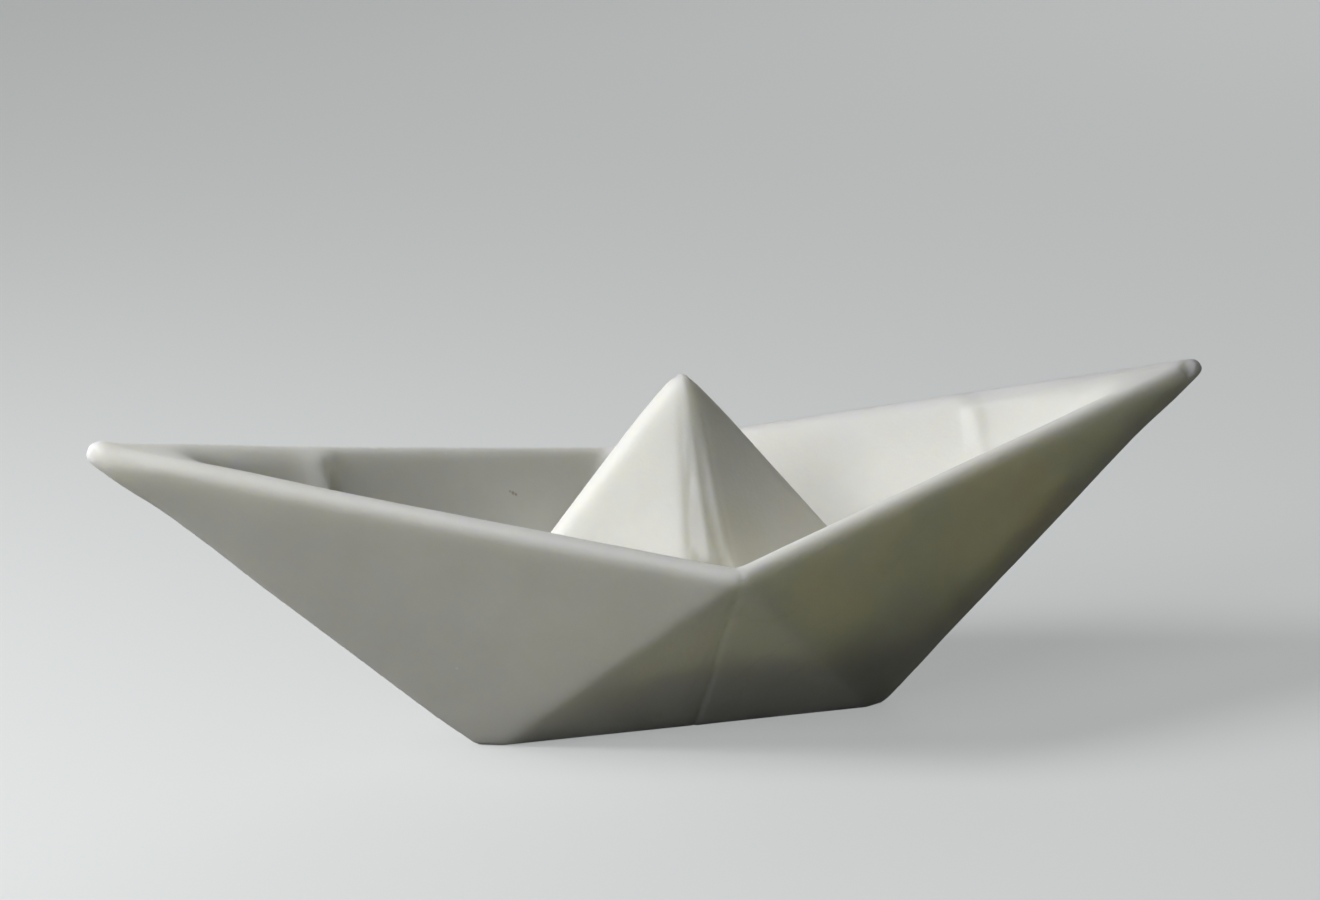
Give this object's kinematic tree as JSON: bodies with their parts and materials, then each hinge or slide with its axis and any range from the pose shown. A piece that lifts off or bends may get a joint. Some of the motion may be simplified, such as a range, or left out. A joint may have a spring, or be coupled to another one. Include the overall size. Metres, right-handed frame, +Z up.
{
  "type": "stone paper boat figure",
  "caption": "Solid stone figure of a traditional folded paper boat, with an open hull, rounded rims and a pointed sail in the middle.",
  "frame": {"origin": "centre of the bounding box in X and Y, on the flat keel that it stands on", "axes": "+X from bow to bow, +Y across the hull, +Z up"},
  "size_m": [0.1874, 0.0806, 0.0582],
  "materials": {
    "stone": "matte"
  },
  "bodies": {
    "root": {"boat": "stone"}
  },
  "joints": []
}
